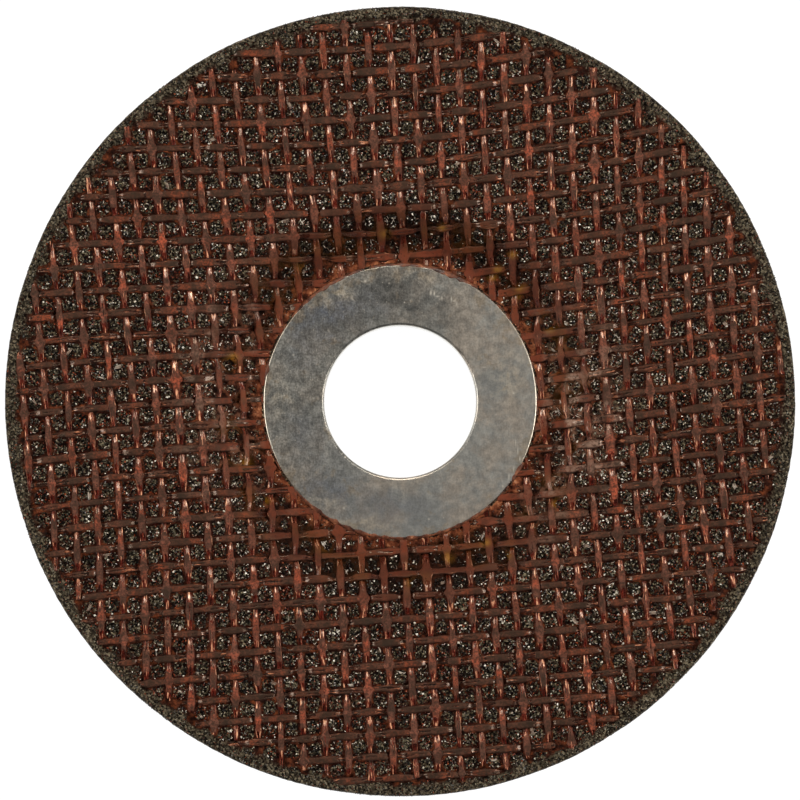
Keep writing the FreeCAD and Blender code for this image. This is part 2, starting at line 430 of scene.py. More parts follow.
# ------------------------------------------------------------------ loose looking grain
def grains(name, count, low, high, seed, on_rim=0):
    """Broken grains, each a closed six sided splinter, sunk in the bed of every
    opening of the mesh and on the bare rim."""
    rng = np.random.default_rng(seed)
    X, Y = np.zeros(0), np.zeros(0)
    while len(X) < count - on_rim:
        m = count * 3
        r = np.sqrt(rng.uniform(20.6**2, 57.25**2, m))
        a = rng.uniform(0, 2 * math.pi, m)
        x, y = r * np.cos(a), r * np.sin(a)
        lowest, gap, soft = near_yarns(x, y)
        keep = (gap > rng.uniform(-0.10, 0.13, m)) & (rng.random(m) > 0.85 * np.maximum(flood(x, y), 0.85 * web(x, y, soft)))
        X, Y = np.concatenate([X, x[keep]]), np.concatenate([Y, y[keep]])
    n = count - on_rim
    X, Y = X[:n], Y[:n]
    h, gap, edge, f = bed_height(X, Y)
    size = rng.uniform(low, high, n)
    chip = rng.random(n)
    # a few pale white grains, partly painted glints, more of them near the hub
    pale_share = 0.068 - 0.034 * smooth(30.0, 48.0, np.hypot(X, Y))
    pale_glint = chip < pale_share
    size = np.where(pale_glint, size * 1.25, size) * np.where(np.hypot(X, Y) > 55.6, 0.74, 1.0)
    h = h + rng.uniform(-0.03, 0.13, n)
    h = np.minimum(h, -0.03 - 0.55 * size * (1 - 0.3 * edge))
    r = np.hypot(X, Y)
    size = np.minimum(size, np.maximum(0.06, (57.42 - r) * 1.0))
    centre = on_face(X, Y, h)
    if on_rim:
        a = rng.uniform(0, 2 * math.pi, on_rim)
        z = rng.uniform(BACK_Z + 0.35, FACE_Z - 0.35, on_rim)
        s = rng.uniform(low, high, on_rim)
        rr = R_DISC - 0.02 - 0.85 * s
        centre = np.concatenate([centre, np.stack([rr * np.cos(a), rr * np.sin(a), z], -1)])
        size = np.concatenate([size, s])
        edge = np.concatenate([edge, np.ones(on_rim)])
        r = np.concatenate([r, rr])
        n = count
    ang = rng.uniform(0, 2 * math.pi, (n, 1)) + np.array([[0, 2.094, 4.189]]) + rng.uniform(-0.5, 0.5, (n, 3))
    rad = rng.uniform(0.65, 1.15, (n, 3))
    local = np.zeros((n, 5, 3))
    local[:, :3, 0] = np.cos(ang) * rad
    local[:, :3, 1] = np.sin(ang) * rad
    local[:, :3, 2] = rng.uniform(-0.2, 0.2, (n, 3))
    local[:, 3] = np.stack([rng.uniform(-0.3, 0.3, n), rng.uniform(-0.3, 0.3, n), rng.uniform(0.55, 0.95, n)], -1)
    local[:, 4] = np.stack([rng.uniform(-0.3, 0.3, n), rng.uniform(-0.3, 0.3, n), -rng.uniform(0.55, 0.95, n)], -1)
    # turn each grain a random way
    q = rng.normal(size=(n, 4))
    q /= np.linalg.norm(q, axis=1, keepdims=True)
    w, x, y, z = q.T
    rot = np.stack([1 - 2 * (y * y + z * z), 2 * (x * y - z * w), 2 * (x * z + y * w),
                    2 * (x * y + z * w), 1 - 2 * (x * x + z * z), 2 * (y * z - x * w),
                    2 * (x * z - y * w), 2 * (y * z + x * w), 1 - 2 * (x * x + y * y)], -1).reshape(n, 3, 3)
    co = np.einsum("nij,nkj->nki", rot, local) * size[:, None, None] + centre[:, None, :]
    # nothing stands out of the mould's own form
    rr = np.hypot(co[..., 0], co[..., 1])
    top, _ = working(rr)
    co[..., 2] = np.minimum(co[..., 2], np.where(rr > 20.0, top - 0.004, 9))
    over = np.maximum(rr / (R_DISC - 0.01), 1.0)
    co[..., 0] /= over
    co[..., 1] /= over
    base = np.array([[0, 1, 3], [1, 2, 3], [2, 0, 3], [1, 0, 4], [2, 1, 4], [0, 2, 4]])
    tris = (base[None] + (np.arange(n) * 5)[:, None, None]).reshape(-1, 3)
    # some openings hold more pale grain than others
    pale = value_noise(centre[:, 0], centre[:, 1], 2.9, 36)
    tone = rng.random(n) ** (0.62 + 0.9 * pale) * 0.93
    tone[:len(chip)][pale_glint] = rng.uniform(0.93, 1.0, int(pale_glint.sum()))
    on_edge = r > 55.7
    tone = np.where(on_edge, 0.26 + 0.62 * np.minimum(tone, 0.93), tone)
    # resin clings to the grain in patches, and more of it towards the hub
    patch = smooth(0.42, 0.70, value_noise(centre[:, 0], centre[:, 1], 2.3, 33))
    share = 0.18 + 0.50 * patch + 0.26 * (1 - smooth(24.0, 40.0, r))
    brown = (rng.random(n) < np.where(on_edge, 0.16, share)).astype(float) * (tone < 0.9)
    return mesh_object(name, co.reshape(-1, 3), tris, flat=True,
                       floats={"tone": np.repeat(tone, 5), "brown": np.repeat(brown, 5), "worn": np.repeat(rng.random(n), 5),
                               "painted_shade": np.repeat(painted_shade_at(centre[:, 0], centre[:, 1]), 5)})


# ------------------------------------------------------------------ yarns
ACROSS = np.array([-1.0, -0.84, -0.56, -0.28, 0.0, 0.28, 0.56, 0.84, 1.0])
EDGE_DROP = -0.30 * np.abs(ACROSS) ** 5.5
UNDER_X = np.array([0.62, -0.62])
UNDER_Z = np.array([-0.30, -0.30])


# where a yarn is sampled, as distances from the crossing where it is on top
PLACES = np.array([0.0, 0.07, 0.14, 0.22, 0.33, 0.45, 0.56, 0.66, 0.76, 0.87])


def yarns(name, kind):
    """Every yarn that runs one way, as flat two-stranded tapes of glass filament
    that pass over and under the others."""
    rng = np.random.default_rng(SEED + (5 if kind == "up" else 6))
    co, tris, base = [], [], 0
    floats = {key: [] for key in ("flat", "side", "along", "yarn", "amber", "film_and_sheen", "hub", "join", "painted_shade")}
    for k in range(-2, 40):
        s = []
        for c in range(-3, 42):
            if (k + c) % 2 == (0 if kind == "up" else 1):
                s.extend(c + PLACES)
            else:
                s.append(float(c))
                s.extend(c + 1 - PLACES[:0:-1])
        s = np.array(s)
        X, Y = place(k, s) if kind == "up" else place(s, k)
        r = np.hypot(X, Y)
        uu, vv = weave(X, Y)
        a_, b_ = (uu, vv) if kind == "up" else (vv, uu)
        ok = (np.abs(a_ - k) < 0.02) & (np.abs(b_ - s) < 0.02) & (r < 60.0)
        first_end = R_MESH + CHAR[kind]["end"][k % 64, 0]
        last_end = R_MESH + CHAR[kind]["end"][k % 64, 1]
        middle = len(s) // 2
        centre_i = int(np.argmin(np.where(ok, r, 1e9)))
        limit = np.where(np.arange(len(s)) < centre_i, first_end, last_end)
        inside = ok & (r < limit) & (r > R_RING + 0.02)
        idx = np.flatnonzero(inside)
        if len(idx) < 4:
            continue
        for part in np.split(idx, np.flatnonzero(np.diff(idx) > 1) + 1):
            if len(part) < 4:
                continue
            ss = s[part].astype(float)
            # bring each end exactly to the ring's edge or the cut
            ends = []
            for at, nxt in ((part[0], part[0] - 1), (part[-1], part[-1] + 1)):
                if 0 <= nxt < len(s) and ok[nxt]:
                    want = R_RING + 0.02 if r[nxt] < R_RING + 1 else limit[at]
                    gain = r[nxt] - r[at]
                    t = float(np.clip((want - r[at]) / gain, 0, 1)) if abs(gain) > 1e-4 else 0.0
                    ends.append(s[at] + t * (s[nxt] - s[at]))
                else:
                    ends.append(s[at])
            if abs(ends[0] - ss[0]) > 0.02:
                ss = np.concatenate([[ends[0]], ss])
            if abs(ends[1] - ss[-1]) > 0.02:
                ss = np.concatenate([ss, [ends[1]]])
            x, y = place(k, ss) if kind == "up" else place(ss, k)
            n = len(ss)
            # a slow sideways wander of the yarn
            wob = 0.10 * (value_noise(x, y, 2.3, 71 + (kind == "up")) - 0.5)
            tx, ty = np.gradient(x), np.gradient(y)
            ln = np.hypot(tx, ty)
            tx, ty = tx / ln, ty / ln
            lx, ly = -ty, tx
            x, y = x + lx * wob, y + ly * wob
            rr = np.hypot(x, y)
            h, f = crest(kind, float(k), ss, x, y)
            w = half_width(kind, float(k), f, x, y)
            # the cut end sinks into the grain
            arc = np.concatenate([[0], np.cumsum(np.hypot(np.diff(x), np.diff(y)))])
            out_end = (1 - smooth(0.0, 1.5, np.minimum(arc, arc[-1] - arc))) * (rr > 45)
            h = h - 0.14 * out_end
            w = w * (1 - 0.30 * out_end)
            z, th = working(rr)
            lean = (lx * x + ly * y) / np.maximum(rr, 1e-6)
            w_plan = w / np.sqrt(1 + (np.tan(th) * lean) ** 2)
            # two strands that twist slowly about each other
            strand = 1 + 0.5 * np.sin(arc * 1.1 + rng.uniform(0, 6.28))
            groove = -0.085 * np.exp(-(((ACROSS[None] - 0.16 * np.sin(arc * 0.9 + k)[:, None]) / 0.21) ** 2)) * strand[:, None]
            join = (merged(x, y) * np.exp(-((f / 0.17) ** 2)))[:, None] if kind == "up" else np.zeros((n, 1))
            q = h[:, None] + EDGE_DROP[None] * (1 - 0.85 * join) + groove
            q = q + (0.034 - 0.028 * smooth(-0.09, -0.01, q)) * (rng.random(q.shape) - 0.5)
            top = flattened(q)
            under_h = np.minimum(h, 0.0)[:, None] + UNDER_Z[None]
            hh = np.concatenate([top, under_h], 1)
            aa = np.concatenate([np.broadcast_to(ACROSS, (n, 9)), np.broadcast_to(UNDER_X, (n, 2))], 1)
            ragged = aa * w_plan[:, None]
            ragged[:, [0, 8]] += rng.uniform(-0.05, 0.05, (n, 2))
            PX = x[:, None] + lx[:, None] * ragged
            PY = y[:, None] + ly[:, None] * ragged
            near = np.hypot(PX, PY)
            push = np.where(near < R_RING + 0.01, (R_RING + 0.01) / np.maximum(near, 1e-6), 1.0)
            PX, PY = PX * push, PY * push
            P = on_face(PX, PY, hh)
            m = aa.shape[1]
            ring = np.arange(m)
            a0 = base + np.arange(n - 1)[:, None] * m + ring[None]
            a1 = base + np.arange(n - 1)[:, None] * m + (ring + 1) % m
            b0, b1 = a0 + m, a1 + m
            quads = np.stack([np.stack([a0, a1, b1], -1), np.stack([a0, b1, b0], -1)], 2).reshape(-1, 3)
            caps = [[base, base + i + 1, base + i] for i in range(1, m - 1)]
            e = base + (n - 1) * m
            caps += [[e, e + i, e + i + 1] for i in range(1, m - 1)]
            tris.append(quads)
            tris.append(np.array(caps))
            co.append(P.reshape(-1, 3))
            flat = np.concatenate([smooth(-0.05, 0.005, q), np.zeros((n, 2))], 1)
            floats["flat"].append(flat.ravel())
            floats["side"].append(aa.ravel())
            floats["along"].append(np.repeat(arc + 7.3 * k, m))
            floats["yarn"].append(np.full(n * m, (k * 0.6180339) % 1.0))
            floats["amber"].append(amber_at(PX, PY).ravel())
            floats["film_and_sheen"].append(film_and_sheen_at(PX, PY).ravel())
            floats["hub"].append(np.repeat(1 - smooth(21.5, 31.0, rr), m))
            floats["painted_shade"].append(painted_shade_at(PX, PY).ravel())
            floats["join"].append(np.repeat(join[:, 0], m))
            base += n * m
    tri = np.concatenate(tris)
    return mesh_object(name, np.concatenate(co), tri, flat=False,
                       floats={key: np.concatenate(val) for key, val in floats.items()})


# ------------------------------------------------------------------ resin on the ring's edge
def resin_lip():
    """A thin ragged lip of resin that ran over the edge of the ring in places."""
    n = 480
    a = np.arange(n) * 2 * math.pi / n
    deg = np.degrees(a)

    def bump(centre, width):
        d = (deg - centre + 180) % 360 - 180
        return np.exp(-((d / width) ** 2))

    ragged = value_noise(a * 20, a * 0, 0.75, 91)
    fine = value_noise(a * 20, a * 0, 0.4, 92)
    wide = (0.24 * bump(90, 12) + 0.46 * bump(67, 9) + 0.42 * bump(120, 11) + 0.38 * bump(268, 26)
            + 0.5 * bump(167.5, 3.2) + 0.55 * bump(329, 3.4) + 0.26 * bump(236, 14) + 0.2 * bump(300, 9)
            + 0.22 * bump(136, 6) + 0.12 * bump(40, 9))
    over = 0.85 * wide * (0.10 + 1.5 * ragged + 0.5 * fine) - 0.05
    on = smooth(0.0, 0.09, over)
    over = np.maximum(over, 0.0)
    inner = R_RING + 0.014 - over
    outer = R_RING + 0.16 + 0.30 * ragged * (0.4 + 0.6 * on)
    top = 5.975 + 0.02 * fine + on * (0.155 + 0.04 * np.minimum(over, 0.5))
    foot = 5.95 + on * 0.155
    loops = [(inner, foot), (inner + 0.02 * on + 0.005, top - 0.012 * on), (inner + 0.03 + 0.25 * over, top),
             (np.maximum(inner + 0.06 + 0.5 * over, R_RING + 0.09), 5.97 + 0.10 * on + 0.02 * fine), (outer, 5.955 - 0.05 * ragged),
             (outer, np.full(n, 5.72)), (np.full(n, R_RING + 0.012), np.full(n, 5.72)),
             (np.full(n, R_RING + 0.012), foot)]
    co = np.concatenate([np.stack([r * np.cos(a), r * np.sin(a), z], -1) for r, z in loops])
    m = len(loops)
    tris = []
    i = np.arange(n)
    for q in range(m):
        w = (q + 1) % m
        a0, a1 = q * n + i, q * n + (i + 1) % n
        b0, b1 = w * n + i, w * n + (i + 1) % n
        tris.append(np.stack([a0, b0, b1], -1))
        tris.append(np.stack([a0, b1, a1], -1))
    return mesh_object("resin_lip", co, np.concatenate(tris)[:, ::-1].copy(), flat=False)


# ------------------------------------------------------------------ frayed filaments
def filaments(count, chips):
    """Short frayed bundles and chips of bare glass filament that lie in the openings."""
    rng = np.random.default_rng(SEED + 9)
    co, tris, base = [], [], 0
    made = 0
    while made < count:
        r = math.sqrt(rng.uniform(22**2, 55**2))
        a = rng.uniform(0, 2 * math.pi)
        x0, y0 = r * math.cos(a), r * math.sin(a)
        gap = near_yarns(np.array([x0]), np.array([y0]))[1]
        if gap[0] < 0.22:
            continue
        made += 1
        way = rng.uniform(0, 2 * math.pi)
        length = rng.uniform(0.5, 1.5)
        lx, ly = -math.sin(way), math.cos(way)
        bow = rng.uniform(-0.25, 0.25)
        for one in range(rng.integers(1, 6)):
            n = 5
            off = (one - 1.5) * rng.uniform(0.07, 0.11)
            t = np.linspace(-0.5, 0.5, n)
            ln = length * rng.uniform(0.5, 1.0)
            turn = way + rng.uniform(-0.12, 0.12)
            x = x0 + lx * off + ln * t * math.cos(turn) + lx * bow * (0.25 - t * t)
            y = y0 + ly * off + ln * t * math.sin(turn) + ly * bow * (0.25 - t * t)
            h = -0.06 - 0.10 * (4 * t * t) * rng.uniform(0.2, 1.0) - rng.uniform(0, 0.06)
            rad = rng.uniform(0.028, 0.048)
            c = on_face(x, y, h)
            ring = [(1.0, 0.0), (0.0, 0.8), (-1.0, 0.0), (0.0, -0.8)]
            P = np.stack([np.stack([c[:, 0] + lx * rad * p, c[:, 1] + ly * rad * p, c[:, 2] + rad * q], -1) for p, q in ring], 1)
            P[0] = P[0].mean(0) + (P[0] - P[0].mean(0)) * 0.3
            P[-1] = P[-1].mean(0) + (P[-1] - P[-1].mean(0)) * 0.3
            m = 4
            for q in range(n - 1):
                for s in range(m):
                    a0, a1 = base + q * m + s, base + q * m + (s + 1) % m
                    tris += [[a0, a1, a1 + m], [a0, a1 + m, a0 + m]]
            e = base + (n - 1) * m
            tris += [[base, base + 2, base + 1], [base, base + 3, base + 2], [e, e + 1, e + 2], [e, e + 2, e + 3]]
            co.append(P.reshape(-1, 3))
            base += n * m
    # single short chips, most of them near the hub
    m = 60 * chips
    r = np.sqrt(rng.uniform(21**2, 55**2, m))
    a = rng.uniform(0, 2 * math.pi, m)
    x, y = r * np.cos(a), r * np.sin(a)
    gap = near_yarns(x, y)[1]
    want = 0.46 - 0.30 * smooth(30.0, 48.0, r) + 0.54 * film_and_sheen_at(x, y, 0.0, 0.35)
    keep = np.flatnonzero((gap > 0.10) & (rng.random(m) < want))[:chips]
    x, y, n = x[keep], y[keep], len(keep)
    way = rng.uniform(0, math.pi, n)
    half = rng.uniform(0.10, 0.26, n) * (1 + 0.5 * film_and_sheen_at(x, y, 0.1, 0.5))
    wide = rng.uniform(0.035, 0.075, n)
    tip = rng.uniform(-0.08, 0.08, n)
    h = -0.10 - rng.uniform(0, 0.12, n) + 0.08 * film_and_sheen_at(x, y, 0.1, 0.5)
    P = []
    for t, k in ((-1, 0.35), (0, 1.0), (1, 0.45)):
        c = on_face(x + np.cos(way) * half * t, y + np.sin(way) * half * t, h + tip * t)
        for p, q in ((1.0, 0.0), (0.0, 0.8), (-1.0, 0.0), (0.0, -0.8)):
            P.append(c + np.stack([-np.sin(way) * wide * k * p, np.cos(way) * wide * k * p, wide * k * q], -1))
    P = np.stack(P, 1)
    one = []
    for q in range(2):
        for s in range(4):
            a0, a1 = q * 4 + s, q * 4 + (s + 1) % 4
            one += [[a0, a1 + 4, a1], [a0, a0 + 4, a1 + 4]]
    one += [[0, 1, 2], [0, 2, 3], [8, 10, 9], [8, 11, 10]]
    more = (np.array(one)[None] + (base + np.arange(n) * 12)[:, None, None]).reshape(-1, 3)
    co.append(P.reshape(-1, 3))
    return mesh_object("frayed_filaments", np.concatenate(co), np.concatenate([np.array(tris), more]), flat=False)


# ------------------------------------------------------------------ material helpers
def material(name):
    mat = bpy.data.materials.new(name)
    mat.use_nodes = True
    nt = mat.node_tree
    for n in list(nt.nodes):
        nt.nodes.remove(n)
    out = nt.nodes.new("ShaderNodeOutputMaterial")
    bsdf = nt.nodes.new("ShaderNodeBsdfPrincipled")
    nt.links.new(bsdf.outputs[0], out.inputs[0])
    return mat, nt, bsdf


def lin(r, g, b):
    def f(c):
        c /= 255.0
        return c / 12.92 if c <= 0.04045 else ((c + 0.055) / 1.055) ** 2.4
    return (f(r), f(g), f(b), 1.0)


class Net:
    """Small shorthand for wiring shader nodes."""

    def __init__(self, nt):
        self.nt = nt

    def put(self, sock, value):
        if isinstance(value, bpy.types.NodeSocket):
            self.nt.links.new(value, sock)
        elif value is not None:
            sock.default_value = value

    def attr(self, name):
        n = self.nt.nodes.new("ShaderNodeAttribute")
        n.attribute_name = name
        return n.outputs["Fac"]

    def coords(self):
        n = self.nt.nodes.new("ShaderNodeTexCoord")
        return n.outputs["Object"]

    def combine(self, x, y, z):
        n = self.nt.nodes.new("ShaderNodeCombineXYZ")
        for s, v in zip(n.inputs, (x, y, z)):
            self.put(s, v)
        return n.outputs[0]

    def separate(self, v):
        n = self.nt.nodes.new("ShaderNodeSeparateXYZ")
        self.put(n.inputs[0], v)
        return n.outputs

    def math(self, op, a, b=None, c=None, clamp=False):
        n = self.nt.nodes.new("ShaderNodeMath")
        n.operation = op
        n.use_clamp = clamp
        for s, v in zip(n.inputs, (a, b, c)):
            self.put(s, v)
        return n.outputs[0]

    def noise(self, vec, scale, detail=2.0, rough=0.5, out="Fac"):
        n = self.nt.nodes.new("ShaderNodeTexNoise")
        n.inputs["Scale"].default_value = scale
        n.inputs["Detail"].default_value = detail
        n.inputs["Roughness"].default_value = rough
        self.put(n.inputs["Vector"], vec)
        return n.outputs[out]

    def voronoi(self, vec, scale, out="Distance", feature="F1", rand=1.0):
        n = self.nt.nodes.new("ShaderNodeTexVoronoi")
        n.feature = feature
        n.inputs["Scale"].default_value = scale
        n.inputs["Randomness"].default_value = rand
        self.put(n.inputs["Vector"], vec)
        return n.outputs[out]

    def ramp(self, fac, stops, mode="LINEAR"):
        n = self.nt.nodes.new("ShaderNodeValToRGB")
        n.color_ramp.interpolation = mode
        el = n.color_ramp.elements
        while len(el) < len(stops):
            el.new(0.5)
        for e, (p, c) in zip(el, stops):
            e.position = p
            e.color = c if len(c) == 4 else (*c, 1.0)
        self.put(n.inputs[0], fac)
        return n.outputs[0]

    def span(self, value, a, b, lo=0.0, hi=1.0, kind="SMOOTHSTEP"):
        n = self.nt.nodes.new("ShaderNodeMapRange")
        n.interpolation_type = kind
        for s, v in zip(n.inputs, (value, a, b, lo, hi)):
            self.put(s, v)
        return n.outputs[0]

    def mix(self, fac, a, b, blend="MIX"):
        n = self.nt.nodes.new("ShaderNodeMix")
        n.data_type = "RGBA"
        n.blend_type = blend
        n.clamp_factor = True
        self.put(n.inputs[0], fac)
        self.put(n.inputs[6], a)
        self.put(n.inputs[7], b)
        return n.outputs[2]

    def bump(self, height, strength, distance, normal=None):
        n = self.nt.nodes.new("ShaderNodeBump")
        n.inputs["Strength"].default_value = strength
        n.inputs["Distance"].default_value = distance
        self.put(n.inputs["Height"], height)
        if normal is not None:
            self.put(n.inputs["Normal"], normal)
        return n.outputs[0]


def grey(v):
    return (v, v, v, 1.0)


# ------------------------------------------------------------------ materials
def grain_bed_material():
    """Dark resin bonded grain, with resin showing where it was squeezed out."""
    mat, nt, b = material("bonded_grain")
    N = Net(nt)
    p = N.coords()
    cell = N.voronoi(p, 3800.0, "Color")
    fine = N.noise(p, 5200.0, 3.0, 0.6)
    patch = N.noise(p, 420.0, 2.0, 0.5)
    sep = N.separate(cell)
    grains_col = N.ramp(sep[0], [(0.0, lin(3, 3, 2)), (0.48, lin(6, 5, 4)), (0.64, lin(44, 40, 31)), (0.86, lin(88, 80, 62)), (1.0, lin(146, 136, 112))])
    brown = N.ramp(sep[1], [(0.0, lin(10, 4, 2)), (0.6, lin(42, 14, 6)), (1.0, lin(104, 42, 18))])
    amount = N.span(patch, 0.50, 0.68, 0.10, 0.70)
    col = N.mix(amount, grains_col, brown)
    shade = N.span(fine, 0.30, 0.62, 0.35, 1.15)
    col = N.mix(1.0, col, N.combine(shade, shade, shade), "MULTIPLY")
    # dark red resin and painted shade in the crevices beside the yarns
    beside = N.span(N.attr("gap"), 0.08, 0.34, 1.0, 0.0)
    col = N.mix(beside, col, lin(44, 11, 5))
    dusty = N.ramp(sep[2], [(0.0, lin(8, 6, 4)), (0.40, lin(34, 29, 22)), (0.75, lin(80, 72, 58)), (1.0, lin(134, 124, 104))])
    col = N.mix(N.math("MULTIPLY", N.attr("edge"), 0.85), col, dusty)
    res_n = N.noise(p, 900.0, 3.0, 0.6)
    res_col = N.ramp(res_n, [(0.34, lin(16, 6, 3)), (0.47, lin(44, 19, 10)), (0.58, lin(82, 41, 24)), (0.74, lin(124, 66, 38))])
    # brighter resin by the ring; its palest stops are painted highlights
    near_col = N.ramp(res_n, [(0.34, lin(44, 18, 9)), (0.47, lin(98, 50, 32)), (0.58, lin(140, 80, 52)), (0.70, lin(206, 140, 100))])
    x, y, z = N.separate(p)
    out = N.math("SQRT", N.math("ADD", N.math("MULTIPLY", x, x), N.math("MULTIPLY", y, y)))
    res_col = N.mix(N.span(out, 0.0207, 0.0223, 0.9, 0.0), res_col, near_col)
    res_col = N.mix(N.math("MULTIPLY", N.attr("amber"), 0.9), res_col, lin(158, 106, 26))
    # the resin is not even: its edge frays into the grain
    grit = N.span(N.math("ADD", N.attr("resin"), N.math("MULTIPLY", N.math("SUBTRACT", fine, 0.5), 1.1)), 0.30, 0.66)
    col = N.mix(grit, col, res_col)
    # painted shade in the corner of the recess
    col = N.mix(N.math("MULTIPLY", N.attr("painted_shade"), 0.78), col, lin(16, 6, 3))
    # grey film and painted sheen on the slope facing the side lamps
    col = N.mix(N.math("MULTIPLY", N.attr("film_and_sheen"), N.span(res_n, 0.42, 0.60, 0.0, 0.80)), col, lin(128, 96, 78))
    N.put(b.inputs["Base Color"], col)
    N.put(b.inputs["Roughness"], N.span(fine, 0.3, 0.7, 0.30, 0.60))
    b.inputs["Specular IOR Level"].default_value = 0.05
    N.put(b.inputs["Normal"], N.bump(N.math("ADD", fine, sep[2]), 0.7, 0.00014))
    return mat


def splinter_material():
    """Single grains: mostly dark olive grey, a few pale ones that are partly painted
    glints, some brown with resin, each with glassy faces."""
    mat, nt, b = material("grain_splinters")
    N = Net(nt)
    tone, brown, worn = N.attr("tone"), N.attr("brown"), N.attr("worn")
    # the palest tones are partly painted glints
    col = N.ramp(tone, [(0.0, lin(3, 3, 2)), (0.26, lin(13, 12, 9)), (0.50, lin(50, 46, 37)),
                        (0.74, lin(100, 94, 77)), (0.92, lin(166, 158, 136)), (0.94, lin(214, 205, 188)), (1.0, lin(244, 240, 230))])
    resin = N.ramp(tone, [(0.0, lin(14, 4, 2)), (0.4, lin(48, 13, 5)), (0.7, lin(114, 42, 18)), (1.0, lin(184, 96, 56))])
    col = N.mix(brown, col, resin)
    # painted shade in the corner of the recess, sparing the palest grains
    recess_shade = N.math("MULTIPLY", N.attr("painted_shade"), N.span(tone, 0.88, 0.93, 0.80, 0.0))
    col = N.mix(recess_shade, col, lin(6, 4, 3))
    N.put(b.inputs["Base Color"], col)
    N.put(b.inputs["Roughness"], N.span(worn, 0.0, 1.0, 0.12, 0.42, kind="LINEAR"))
    b.inputs["Specular IOR Level"].default_value = 0.6
    return mat


def yarn_material(kind):
    """Glass filament in red brown resin. Pressed flats are matt and brown; where
    the yarn dives it is glossy, redder, and shows its filaments, with painted highlights."""
    mat, nt, b = material("glass_yarn_" + kind)
    N = Net(nt)
    side, along, yarn = N.attr("side"), N.attr("along"), N.attr("yarn")
    p = N.coords()
    fil = N.noise(N.combine(N.math("MULTIPLY", side, 1.15), N.math("MULTIPLY", along, 0.34), N.math("MULTIPLY", yarn, 91.0)), 1.6, 3.0, 0.60)
    slow = N.noise(N.combine(N.math("MULTIPLY", along, 0.35), N.math("MULTIPLY", yarn, 57.0), 3.3), 1.0, 2.0, 0.5)
    dust = N.noise(p, 3000.0, 3.0, 0.65)
    cloud = N.noise(p, 900.0, 2.0, 0.5)
    # the edge of a flat is frayed by the filaments and the dust on it
    raw = N.math("ADD", N.attr("flat"), N.math("MULTIPLY", N.math("SUBTRACT", N.math("ADD", dust, cloud), 1.0), 0.9))
    flat = N.span(raw, 0.28, 0.62)
    # colour of the diving parts: red resin over filament, its palest stops painted highlights
    if kind == "up":
        gloss = N.ramp(fil, [(0.32, lin(22, 4, 3)), (0.45, lin(60, 12, 7)), (0.56, lin(110, 34, 21)), (0.67, lin(246, 182, 142))])
        matt = N.ramp(slow, [(0.30, lin(50, 32, 27)), (0.50, lin(85, 49, 39)), (0.70, lin(126, 57, 38))])
    else:
        gloss = N.ramp(fil, [(0.34, lin(11, 3, 2)), (0.48, lin(32, 8, 4)), (0.60, lin(68, 26, 14)), (0.73, lin(206, 136, 100))])
        matt = N.ramp(slow, [(0.30, lin(30, 18, 14)), (0.50, lin(60, 33, 24)), (0.70, lin(98, 42, 23))])
    speck = N.span(dust, 0.38, 0.62, 0.42, 1.55)
    speck = N.math("MULTIPLY", speck, N.span(cloud, 0.36, 0.64, 0.56, 1.38))
    matt = N.mix(1.0, matt, N.combine(speck, speck, speck), "MULTIPLY")
    matt = N.mix(N.math("MULTIPLY", N.attr("hub"), N.span(cloud, 0.36, 0.58, 0.42, 0.95)), matt, lin(106, 42, 22))
    col = N.mix(flat, gloss, matt)
    # painted shade in the corner of the recess
    col = N.mix(N.math("MULTIPLY", N.attr("painted_shade"), 0.62), col, lin(66, 21, 7))
    col = N.mix(N.math("MULTIPLY", N.attr("amber"), 0.70), col, lin(150, 106, 38))
    # grey film and painted sheen on the slope facing the side lamps
    film = N.math("MULTIPLY", N.attr("film_and_sheen"), N.span(N.noise(p, 1500.0, 3.0, 0.65), 0.40, 0.60, 0.25, 1.0))
    col = N.mix(N.math("MULTIPLY", film, 0.55 if kind == "up" else 0.90), col, lin(156, 128, 112))
    # dark resin and painted shade along the yarn's edges, less near the hub and at joined crossings
    faint = N.span(N.attr("hub"), 0.0, 1.0, 0.88, 0.60, kind="LINEAR")
    edge = N.span(N.math("ADD", N.math("ABSOLUTE", side), N.math("MULTIPLY", N.math("SUBTRACT", dust, 0.5), 0.5)), 0.54, 1.02, 0.0, faint)
    edge = N.math("MULTIPLY", edge, N.span(N.attr("join"), 0.0, 0.75, 1.0, 0.0))
    col = N.mix(edge, col, lin(52, 12, 6) if kind == "up" else lin(40, 10, 5))
    # grit pressed into the flats and caught in the filaments
    pits = N.span(N.voronoi(p, 2100.0), 0.10, 0.24, 0.30, 1.0)
    pits = N.math("MAXIMUM", pits, N.span(cloud, 0.42, 0.56, 1.0, 0.0), clamp=True)
    col = N.mix(1.0, col, N.combine(pits, pits, pits), "MULTIPLY")
    N.put(b.inputs["Base Color"], col)
    rough_flat = N.span(dust, 0.3, 0.7, 0.58, 0.76)
    # no gloss on the frayed edges
    wet = N.math("MULTIPLY", N.math("SUBTRACT", 1.0, flat), N.span(N.math("ABSOLUTE", side), 0.52, 0.80, 1.0, 0.0))
    N.put(b.inputs["Roughness"], N.math("SUBTRACT", rough_flat, N.math("MULTIPLY", wet, 0.40)))
    b.inputs["Specular IOR Level"].default_value = 0.55
    b.inputs["Specular Tint"].default_value = (1.0, 0.70, 0.50, 1.0)
    # clear resin over the filaments where the yarn was not pressed flat
    strands = N.span(fil, 0.43, 0.60, 0.08, 0.68 if kind == "up" else 0.36)
    N.put(b.inputs["Coat Weight"], N.math("MULTIPLY", wet, strands))
    b.inputs["Coat Roughness"].default_value = 0.14
    b.inputs["Coat IOR"].default_value = 1.56
    depth = N.math("ADD", N.math("MULTIPLY", wet, fil), N.math("MULTIPLY", dust, 0.5))
    bumped = N.bump(depth, 1.0, 0.00005)
    N.put(b.inputs["Normal"], bumped)
    N.put(b.inputs["Coat Normal"], N.bump(N.math("ADD", fil, N.math("MULTIPLY", cloud, 0.6)), 1.0, 0.00004))
    return mat


